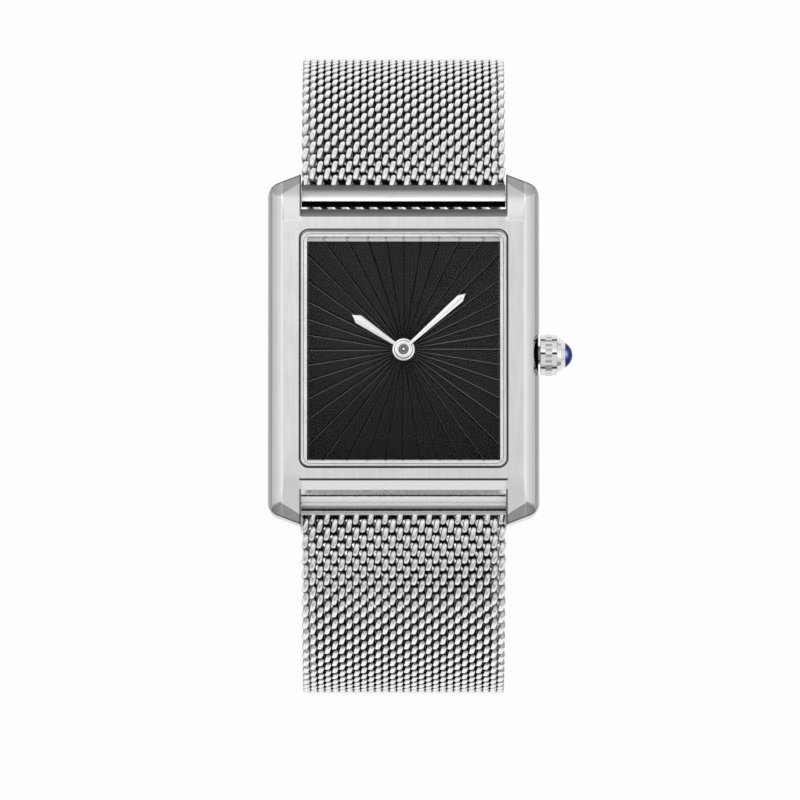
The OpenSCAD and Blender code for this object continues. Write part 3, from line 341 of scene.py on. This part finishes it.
def dial_paint():
    """Black lacquer with a fine grain inside a pale rim. Along each of its grooves runs a painted
    glint on one side and painted shade on the other, and the lacquer gets painted shade lower down."""
    material, tree, shader = new_material("dial_black")
    shader.inputs["Metallic"].default_value = 0.2
    shader.inputs["Specular IOR Level"].default_value = 0.03
    grain = noise(tree, 14000, detail=2.0)
    lacquer = ramp(tree, grain, (0.3, (0.012, 0.012, 0.0123)), (0.7, (0.016, 0.016, 0.0165)))

    x, y = place(tree, "X"), place(tree, "Y")
    radius, angle = hypot(tree, x, y), math_node(tree, "ARCTAN2", y, x)
    turns = math_node(tree, "WRAP", times(tree, angle, GROOVES / (2 * math.pi)), 0.5, -0.5)
    aside = times(tree, turns, radius, 2 * math.pi / GROOVES)

    def line(middle, half):
        off = absolute(tree, minus(tree, aside, middle))
        return spread(tree, off, 1.0, 0.0, half * 0.4, half)

    # Painted glint along one side of each of the grooves, strongest towards 3 and 9 and faint near
    # the middle
    cosine = math_node(tree, "COSINE", angle)
    catch = spread(tree, times(tree, cosine, cosine), 0.03, 0.3, 0.1, 1.0)
    glint = times(tree, line(GROOVE_HALF, GROOVE_HALF), catch, 0.7,
                  spread(tree, radius, 0.2, 1.0, 0.001, 0.004))
    # Painted shade along the other side, and painted shade growing towards 6
    dark = minus(tree, 1.0, times(tree, line(-GROOVE_HALF, GROOVE_HALF * 1.8), 0.8))
    lower = spread(tree, y, 0.35, 1.0, -0.011, 0.0)
    base = shade(tree, lacquer, times(tree, dark, lower))
    grooved = mix_colours(tree, "ADD", 1.0, base, as_grey(tree, glint))
    rim = largest(tree, spread(tree, y, 0.0, 1.0, RIM_12_Y, RIM_12_Y + RIM_STEP),
                  spread(tree, y, 1.0, 0.0, RIM_6_Y - RIM_STEP, RIM_6_Y),
                  spread(tree, absolute(tree, x), 0.0, 1.0, RIM_X, RIM_X + RIM_STEP))
    colour = mix_colours(tree, "MIX", rim, grooved, (0.72, 0.72, 0.72, 1.0))
    dress(tree, shader, colour, grain, 0.38, 0.46)
    bump(tree, shader, grain, 0.012)
    return material


def sapphire():
    """Clear glass that lets the lamps' light through to the dial."""
    material, tree, shader = new_material("sapphire")
    shader.inputs["Base Color"].default_value = (1, 1, 1, 1)
    shader.inputs["Transmission Weight"].default_value = 1.0
    shader.inputs["IOR"].default_value = 1.15
    grain = noise(tree, 150, detail=2.0)
    tree.links.new(spread(tree, grain, 0.0, 0.02), shader.inputs["Roughness"])
    clear = tree.nodes.new("ShaderNodeBsdfTransparent")
    path = tree.nodes.new("ShaderNodeLightPath")
    glass = mix_shaders(tree, path.outputs["Is Shadow Ray"], shader, clear)
    tree.links.new(glass, tree.get_output_node("ALL").inputs[0])
    return material


def cabochon():
    """Deep blue stone with a painted glow, paler where light gathers beside its setting."""
    material, tree, shader = new_material("cabochon_blue")
    shader.inputs["Coat Weight"].default_value = 0.06
    shader.inputs["Coat Roughness"].default_value = 0.03
    shader.inputs["Specular IOR Level"].default_value = 0.1
    low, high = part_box("crown_cabochon")
    cloud = noise(tree, 900, detail=3.0)
    blue = ramp(tree, cloud, (0.3, (0.0, 0.001, 0.07)), (0.7, (0.001, 0.006, 0.15)))
    x = minus(tree, place(tree, "X"), float(low[0]) + 0.0001)
    y = minus(tree, place(tree, "Y"), float(low[1] + high[1]) / 2)
    off = hypot(tree, x, times(tree, y, 0.55))
    # Painted glow of light beside the setting, added to the blue
    glow = ramp(tree, spread(tree, off, 0.0, 1.0, 0.0, 0.00042), (0.0, (0.6, 0.68, 0.9)),
                (0.3, (0.2, 0.28, 0.6)), (0.62, (0.01, 0.03, 0.2)), (1.0, (0.0, 0.0, 0.0)))
    dress(tree, shader, mix_colours(tree, "ADD", 1.0, blue, glow), cloud, 0.08, 0.16)
    return material


def pale_gasket():
    """The crystal's gasket: pale nylon, with painted shade as a dark line where it meets the case.
    """
    material, tree, shader = new_material("gasket_pale")
    low, high = [np.array(v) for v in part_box("crystal_gasket")]
    half, corner = (high - low) / 2, 0.001
    sides = []
    for axis, extent in (("X", half[0]), ("Y", half[1])):
        off = minus(tree, absolute(tree, place(tree, axis)), float(extent) - corner)
        sides.append(largest(tree, off, 0.0))
    edge = minus(tree, hypot(tree, *sides), corner)
    grain = noise(tree, 6000, detail=3.0)
    # Painted shade: a dark line along the gasket's edge beside the case
    line = grey_ramp(tree, spread(tree, edge, 0.0, 1.0, -0.0005, 0.0),
                     (0.0, 0.36), (0.3, 0.42), (0.48, 0.3), (0.6, 0.01))
    dress(tree, shader, shade(tree, line, spread(tree, grain, 0.85, 1.1)), grain, 0.3, 0.45)
    bump(tree, shader, grain, 0.1)
    return material


def arbor_brass():
    """Brass wheel on a steel arbor whose end has a painted highlight as a bright pip, ringed by
    painted shade.
    """
    material, tree, shader = new_material("arbor_brass")
    shader.inputs["Metallic"].default_value = 1.0
    grain = noise(tree, 7000)
    radius = hypot(tree, place(tree, "X"), place(tree, "Y"))
    # From the middle: a painted highlight, a ring of painted shade, the dark steel of the arbor,
    # then brass
    colour = ramp(tree, spread(tree, radius, 0.0, 1.0, 0.0, 0.001), (0.1, (0.75, 0.75, 0.75)),
                  (0.16, (0.03, 0.03, 0.03)), (0.5, (0.1, 0.1, 0.1)), (0.6, (0.8, 0.6, 0.28)))
    dress(tree, shader, shade(tree, colour, spread(tree, grain, 0.9, 1.05)), grain, 0.16, 0.3)
    bump(tree, shader, grain, 0.1)
    return material


def weave_steel():
    """Bright on the faces of the mesh, with painted shade down between its wires."""
    material, tree, shader = new_material("mesh_steel")
    shader.inputs["Metallic"].default_value = 1.0
    grain = noise(tree, 5000, detail=3.0)
    bright = ramp(tree, grain, (0.3, (0.93, 0.93, 0.93)), (0.7, (1.0, 1.0, 1.0)))
    # The height attribute sets how much painted shade a place gets
    height = tree.nodes.new("ShaderNodeAttribute")
    height.attribute_name = "height"
    depth = spread(tree, height.outputs["Fac"], 0.045, 1.0, 0.74, 0.92)
    dress(tree, shader, shade(tree, bright, depth), grain, 0.24, 0.36)
    bump(tree, shader, grain, 0.1)
    return material


# The case's colour carries painted shade and painted highlights
case_steel = metal("case_steel", (0.74, 0.74, 0.745), 0.15, (2500, 260, 2500), vary=0.03,
                   rough_vary=0.04, painted_light=case_painted_light)
clasp_steel = metal("clasp_steel", (0.66, 0.66, 0.67), 0.28, (9000, 500, 9000), vary=0.05)
polished = metal("polished_steel", (0.84, 0.84, 0.845), 0.12, 1800, vary=0.03, rough_vary=0.04)
# The stops put painted highlights and painted shade across the two end pieces
bar_12_steel = metal("end_piece_steel_12", (0.9, 0.9, 0.9), 0.25, (900, 9000, 9000), vary=0.05,
                     painted_light=bar_painted_light((14.6, 0.04), (14.68, 0.04), (14.76, 1.0), (14.95, 1.0),
                                       (15.5, 0.55), (16.1, 0.14), (16.4, 0.1)))
bar_6_steel = metal("end_piece_steel_6", (0.9, 0.9, 0.9), 0.25, (900, 9000, 9000), vary=0.05,
                    painted_light=bar_painted_light((14.24, 0.03), (14.27, 0.03), (14.33, 0.9), (14.45, 1.0),
                                      (14.8, 0.85), (15.45, 0.22), (15.55, 0.02), (15.68, 0.02),
                                      (15.75, 0.6), (16.0, 0.6), (16.15, 0.15)))
crown_steel = metal("crown_steel", (0.78, 0.78, 0.78), 0.2, 4000, vary=0.04, painted_light=knurl_painted_shade)
hand_steel = metal("hand_steel", (0.8, 0.8, 0.8), 0.24, 6000, vary=0.03, rough_vary=0.05)
post_steel = metal("post_steel", (0.2, 0.2, 0.2), 0.3, 9000, vary=0.1)
brass = metal("movement_brass", (0.72, 0.56, 0.28), 0.28, (600, 9000, 9000), vary=0.08)
gear_brass = metal("gear_brass", (0.8, 0.6, 0.28), 0.22, 7000, vary=0.08)
iron = metal("iron_gray", (0.36, 0.36, 0.37), 0.4, 5000, vary=0.1)
screw_steel = metal("screw_steel", (0.6, 0.6, 0.61), 0.18, 7000, vary=0.05)
magnet = metal("magnet_gray", (0.22, 0.22, 0.23), 0.5, 9000, vary=0.15)
copper = metal("copper_wire", (0.7, 0.32, 0.17), 0.3, (12000, 400, 400), vary=0.25,
               bump_strength=0.5, bump_depth=3 * GRAIN_DEPTH)
battery_can = metal("battery_steel", (0.7, 0.7, 0.71), 0.2, 4000, vary=0.05)
gasket = plastic("gasket_black", (0.02, 0.02, 0.021), 0.6)
holder = plastic("holder_plastic", (0.05, 0.05, 0.055), 0.55)
board = plastic("board_green", (0.03, 0.16, 0.07), 0.35)
chip = plastic("chip_black", (0.02, 0.02, 0.02), 0.5)
mesh_steel = weave_steel()


def paint(material, *names):
    for name in names:
        mesh = nodes[name].data
        mesh.materials.clear()
        mesh.materials.append(material)


paint(case_steel, "case_middle", "case_back", "crown_tube", "stem")
paint(polished, "dial_ring")
paint(bar_12_steel, "strap_12_end_piece")
paint(bar_6_steel, "strap_6_end_piece")
paint(crown_steel, "crown")
paint(post_steel, "cannon_pinion")
paint(clasp_steel, "strap_12_bracket", "hook_bar", "strap_6_tip", "clasp_body", "clasp_pin",
      "clasp_lock_pin", "clasp_hook", "clasp_cover", "clasp_cover_sides", "clasp_lock")
paint(gasket, "case_back_gasket", "crown_gasket")
paint(brass, "mainplate", "train_bridge")
paint(gear_brass, "hour_wheel", "minute_wheel", "third_wheel",
      "intermediate_wheel", "setting_wheel", "sliding_pinion")
paint(iron, "stator", "coil_core", "rotor")
paint(magnet, "rotor_magnet")
paint(screw_steel, "case_back_screws", "movement_screws", "setting_lever", "battery_clamp",
      "spring_bar_12", "spring_bar_6", "spring_bar_springs", "bar_tip_12_left",
      "bar_tip_12_right", "bar_tip_6_left", "bar_tip_6_right")
paint(copper, "coil")
paint(board, "circuit_board")
paint(chip, "ic_chip")
paint(battery_can, "battery", "quartz_crystal")
paint(holder, "movement_holder")
paint(arbor_brass(), "center_wheel")
paint(pale_gasket(), "crystal_gasket")
paint(dial_paint(), "dial")
paint(cabochon(), "crown_cabochon")


# Rounded edges, and the crystal

def round_edges(piece, width, segments=2):
    """The width is in millimetres."""
    edge = piece.modifiers.new("edge", "BEVEL")
    edge.width = width * MM
    edge.segments = segments
    edge.limit_method = "ANGLE"
    edge.angle_limit = math.radians(40)
    return edge


def soften(width, *names, segments=2):
    for name in names:
        round_edges(nodes[name], width, segments).harden_normals = True


def make_crystal():
    """The crystal rests on its seat with a hair of air under it, so that the seat shows through."""
    mesh = nodes["crystal"].data.copy()
    mesh.name = "crystal_clear"
    low = min(v.co.z for v in mesh.vertices)
    for v in mesh.vertices:
        if v.co.z < low + 0.01 * MM:
            v.co.z += 0.02 * MM
    mesh.materials.clear()
    mesh.materials.append(sapphire())
    piece = add_object("crystal_clear", mesh)
    round_edges(piece, 0.05)
    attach(piece, "case")
    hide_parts("crystal")


make_crystal()
soften(0.13, "case_middle", segments=3)
soften(0.05, "dial_ring", "clasp_body", "clasp_cover", "clasp_cover_sides", "clasp_hook",
       "clasp_lock", "strap_12_bracket", "strap_6_tip", "case_back")
soften(0.02, "crown")


# The hands: domed blades on domed hubs

def blade_rings(length, wide, narrow, tip, inner, thick):
    """Sections along a sword blade, each a low dome over a flat back."""
    parts, steps = 6, 10
    stations = [inner + (length - tip - inner) * k / parts for k in range(parts + 1)]
    halves = [(narrow + (wide - narrow) * k / parts) / 2 for k in range(parts + 1)]
    to_point = (0.8, 0.6, 0.4, 0.2, 0.02)
    stations += [length - tip * f for f in to_point]
    halves += [wide / 2 * f for f in to_point]
    rings = []
    for at, half in zip(stations, halves):
        dome = 0.75 * min(1.0, half / (narrow / 2))
        turn = [math.pi * k / steps for k in range(steps + 1)]
        ring = [(half * math.cos(t), at, thick * (0.25 + dome * math.sin(t))) for t in turn]
        rings.append(ring + [(-half, at, 0.0), (half, at, 0.0)])
    return rings


def hub_profile(bore, outer, thick):
    """Radius and height of a washer with a rounded face."""
    steps = 10
    turn = [math.pi * k / steps for k in range(steps + 1)]
    rim = [(bore + (outer - bore) * (1 - math.cos(t)) / 2, thick * (0.3 + 0.7 * math.sin(t)))
           for t in turn]
    return [(bore, 0.0)] + rim + [(outer, 0.0)]


def hand(name, body, cad_node, wide, narrow, bore, outer, tip=0.75):
    """A hand that lies where the CAD one does. Its widths and radii are in millimetres."""
    points = [v.co / MM for v in nodes[cad_node].data.vertices]
    far = max(points, key=lambda p: p.x * p.x + p.y * p.y)
    length = math.hypot(far.x, far.y)
    turn = math.atan2(far.y, far.x) - math.pi / 2
    low = min(p.z for p in points)
    thick = max(p.z for p in points) - low

    verts, faces = [], []
    rings = blade_rings(length, wide, narrow, tip, (bore + outer) / 2, thick)
    for ring in rings:
        verts += ring
    n = len(rings[0])
    for a in range(0, (len(rings) - 1) * n, n):
        faces += [(a + k, a + (k + 1) % n, a + n + (k + 1) % n, a + n + k) for k in range(n)]
    faces += [tuple(range(n))[::-1], tuple((len(rings) - 1) * n + k for k in range(n))]

    base, profile, around = len(verts), hub_profile(bore, outer, thick), 72
    m = len(profile)
    for step in range(around):
        t = 2 * math.pi * step / around
        verts += [(r * math.cos(t), r * math.sin(t), h) for r, h in profile]
        a, b = base + step * m, base + (step + 1) % around * m
        faces += [(a + k, b + k, b + (k + 1) % m, a + (k + 1) % m) for k in range(m)]

    c, s = math.cos(turn), math.sin(turn)
    verts = [((x * c - y * s) * MM, (x * s + y * c) * MM, (low + z) * MM) for x, y, z in verts]
    mesh = bpy.data.meshes.new(name)
    mesh.from_pydata(verts, [], faces)
    fix = bmesh.new()
    fix.from_mesh(mesh)
    bmesh.ops.recalc_face_normals(fix, faces=fix.faces)
    fix.to_mesh(mesh)
    fix.free()
    mesh.polygons.foreach_set("use_smooth", np.ones(len(faces), bool))
    mesh.set_sharp_from_angle(angle=math.radians(50))
    mesh.materials.append(hand_steel)
    piece = add_object(name, mesh)
    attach(piece, body)
    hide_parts(cad_node)


hand("hour_hand_domed", "hour", "hour_hand", wide=0.98, narrow=0.38, bore=0.75, outer=1.115)
hand("minute_hand_domed", "minute", "minute_hand", wide=0.84, narrow=0.32, bore=0.41, outer=0.875)


# The woven mesh: rows of flattened coils, each hooked through the next. Lengths in millimetres

STRAP_W = 20.0
LOOP_R, LOOP_CY, LOOP_CZ = 31.6, -0.6, 20.633
SIDE_Y = LOOP_CY + LOOP_R
TURNS = 14              # turns of one coil across the strap, each two columns of the weave
PITCH = STRAP_W / TURNS
ROW = 0.9               # spacing of the coils along the strap
WIRE_W, WIRE_T = 0.56, 0.44
BACK_W = 0.7            # width of the wire on the inner face
HALF_T = 0.85
AMP_S, AMP_N = 0.7, HALF_T - WIRE_T / 2
LEAN = PITCH / 2 + 0.09
STEPS, SIDES = 18, 8
PALE_X = 8.3            # beyond this the painted shade in the gaps between the wires gets paler


def along_path(s, z, start):
    """Place (y, z) and outward normal at the length s along a strap half."""
    low_r = LOOP_CZ - z
    s1 = LOOP_R * math.radians(start)
    s2 = s1 + low_r * math.pi / 2
    a1 = math.radians(start) - s / LOOP_R
    a2 = -(s - s1) / low_r
    y = np.where(s < s1, LOOP_CY + LOOP_R * np.cos(a1), SIDE_Y - low_r + low_r * np.cos(a2))
    h = np.where(s < s1, LOOP_CZ + LOOP_R * np.sin(a1), LOOP_CZ + low_r * np.sin(a2))
    ny = np.where(s < s1, np.cos(a1), np.cos(a2))
    nz = np.where(s < s1, np.sin(a1), np.sin(a2))
    flat = s > s2
    y = np.where(flat, SIDE_Y - low_r - (s - s2), y)
    h = np.where(flat, z, h)
    ny = np.where(flat, 0.0, ny)
    nz = np.where(flat, -1.0, nz)
    return y, h, ny, nz


def power(value, exponent):
    return np.sign(value) * np.abs(value) ** exponent


def wire_row(s_mid, z, start, odd, around):
    """One flattened coil of wire across the strap: its points, faces, and heights in the mesh that
    set the painted shade between the wires.
    around is -1 for the strap half that is turned half a turn about the dial's axis."""
    begin, end = (1.6, 2 * TURNS + 1.0) if odd else (0.0, 2 * TURNS - 0.6)
    count = int(round((end - begin) * STEPS / 2)) + 1
    phi = np.linspace(begin, end, count) * math.pi
    shift = 1.0 if odd else 0.0
    x = PITCH * (phi / math.pi - shift) / 2 - LEAN * (1 - np.cos(phi)) / 2
    x = x - (2 * TURNS - 1) * PITCH / 4 - PITCH / 4 + LEAN / 2
    s = s_mid + AMP_S * power(np.cos(phi), 0.75)
    n = AMP_N * power(np.sin(phi), 0.35)
    centre = np.stack([x, s, n], 1)
    tangent = np.gradient(centre, axis=0)
    tangent /= np.linalg.norm(tangent, axis=1)[:, None]
    radial = np.stack([np.zeros(count), np.cos(phi) * 0.8, np.sin(phi)], 1)
    side = np.cross(tangent, radial)
    side /= np.linalg.norm(side, axis=1)[:, None]
    up = np.cross(side, tangent)
    width = np.where(np.sin(phi) < 0, BACK_W, WIRE_W)[:, None, None]
    t = np.linspace(0, 2 * math.pi, SIDES, endpoint=False)
    ring = (centre[:, None, :]
            + side[:, None, :] * power(np.cos(t), 0.8)[None, :, None] * width / 2
            + up[:, None, :] * (power(np.sin(t), 0.6) * WIRE_T / 2)[None, :, None])
    ring = ring.reshape(-1, 3)
    y, h, ny, nz = along_path(ring[:, 1], z, start)
    points = [ring[:, 0] * around, (y + ny * ring[:, 2]) * around, h + nz * ring[:, 2]]
    i = np.arange(count - 1)[:, None] * SIDES
    j = np.arange(SIDES)[None, :]
    k = (j + 1) % SIDES
    quads = np.stack([i + j, i + j + SIDES, i + k + SIDES, i + k], -1).reshape(-1, 4)
    ends = [list(range(SIDES)), [count * SIDES - 1 - q for q in range(SIDES)]]
    # Near the strap's edges the heights rise, so the painted shade there is paler
    edge = np.clip((np.abs(ring[:, 0]) - PALE_X) / 0.6, 0.0, 0.8)
    return np.stack(points, 1), quads, ends, np.maximum(np.abs(ring[:, 2]) / HALF_T, edge)


def weave(name, body, cad_node, z, start, end_y, around):
    """The mesh of one strap half, in two pieces. It begins at the angle start on the big circle,
    goes down round the side at height z below, and ends at end_y."""
    low_r = LOOP_CZ - z
    length = LOOP_R * math.radians(start) + low_r * math.pi / 2 + SIDE_Y - low_r - end_y
    margin = AMP_S + WIRE_T / 2
    rows = int(round((length - 2 * margin) / ROW)) + 1
    places = np.linspace(margin, length - margin, rows)
    for part, (a, b) in enumerate([(0, rows // 2), (rows // 2, rows)]):
        points, faces, heights, base = [], [], [], 0
        for r in range(a, b):
            p, quads, ends, height = wire_row(places[r], z, start, r % 2 == 1, around)
            points.append(p)
            heights.append(height)
            faces += (quads + base).tolist() + [[v + base for v in e] for e in ends]
            base += len(p)
        mesh = bpy.data.meshes.new(f"{name}_{part + 1}")
        mesh.from_pydata((np.concatenate(points) * MM).tolist(), [], faces)
        mesh.polygons.foreach_set("use_smooth", np.ones(len(faces), bool))
        # The heights carry the painted shade between the wires
        high = mesh.attributes.new("height", "FLOAT", "POINT")
        high.data.foreach_set("value", np.concatenate(heights))
        mesh.materials.append(mesh_steel)
        piece = add_object(f"{name}_{part + 1}", mesh)
        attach(piece, body)
        if part == 0:
            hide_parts(cad_node)


weave("strap_12_weave", "strap_12", "strap_12_mesh", z=2.0, start=58.8, end_y=4.0, around=1)
weave("strap_6_weave", "strap_6", "strap_6_mesh", z=4.0, start=60.0, end_y=1.9, around=-1)


# Floor, light and world

def make_floor():
    """A pale floor that looks almost white and still keeps the watch's shadow."""
    half = 3.0
    corners = [(-half, -half, 0), (half, -half, 0), (half, half, 0), (-half, half, 0)]
    mesh = bpy.data.meshes.new("floor")
    mesh.from_pydata(corners, [], [(0, 1, 2, 3)])
    floor = add_object("floor", mesh)
    floor.location.z = -0.0001
    material = bpy.data.materials.new("floor")
    material.use_nodes = True
    tree = material.node_tree
    tree.nodes.clear()
    out = tree.nodes.new("ShaderNodeOutputMaterial")
    diffuse = tree.nodes.new("ShaderNodeBsdfDiffuse")
    diffuse.inputs["Color"].default_value = (0.8, 0.8, 0.8, 1)
    glow = tree.nodes.new("ShaderNodeEmission")
    glow.inputs["Strength"].default_value = 1.0
    path = tree.nodes.new("ShaderNodeLightPath")
    seen = largest(tree, path.outputs["Is Camera Ray"], path.outputs["Is Transmission Ray"],
                   path.outputs["Is Glossy Ray"])
    tree.links.new(mix_shaders(tree, times(tree, seen, 0.96), diffuse, glow), out.inputs[0])
    mesh.materials.append(material)


def make_world():
    """A plain studio: a darker front, bright sides and a back between the two."""
    world = bpy.data.worlds.new("studio")
    world.use_nodes = True
    tree = world.node_tree
    tree.nodes.clear()
    out = tree.nodes.new("ShaderNodeOutputWorld")
    background = tree.nodes.new("ShaderNodeBackground")
    where = tree.nodes.new("ShaderNodeTexCoord")
    split = tree.nodes.new("ShaderNodeSeparateXYZ")
    tree.links.new(where.outputs["Generated"], split.inputs[0])

    def sky(*stops):
        return grey_ramp(tree, split.outputs["Z"], *stops)

    def blend_in(below, above, low, high):
        share = spread(tree, split.outputs["Y"], 0.0, 1.0, low, high)
        return mix_colours(tree, "MIX", share, below, above)

    front = sky((0.0, 0.22), (0.3, 0.34), (0.48, 0.85), (0.75, 0.84), (0.92, 0.78))
    sides = sky((0.0, 0.95), (0.6, 0.95), (0.75, 1.5), (0.9, 0.78))
    back = sky((0.0, 0.35), (0.15, 0.6), (0.35, 0.95), (0.7, 0.86), (0.92, 0.78))
    light = blend_in(blend_in(front, sides, -0.5, -0.2), back, 0.2, 0.5)
    tree.links.new(light, background.inputs["Color"])
    tree.links.new(background.outputs[0], out.inputs[0])
    bpy.context.scene.world = world


def lamp(name, stand, aim, size, watts):
    data = bpy.data.lights.new(name, "AREA")
    data.shape = "RECTANGLE"
    data.size, data.size_y = size
    data.energy = watts
    light = add_object(name, data)
    light.location = stand
    light.rotation_euler = (Vector(stand) - Vector(aim)).to_track_quat("Z", "Y").to_euler()


make_floor()
make_world()
lamp("key", stand=(-0.5, 0.5, 1.5), aim=(0, 0, 0.04), size=(1.2, 1.2), watts=2.6)
lamp("fill", stand=(0.7, -0.3, 1.4), aim=(0, 0, 0.04), size=(1.0, 1.0), watts=1.0)

bpy.context.scene.view_settings.view_transform = "Standard"
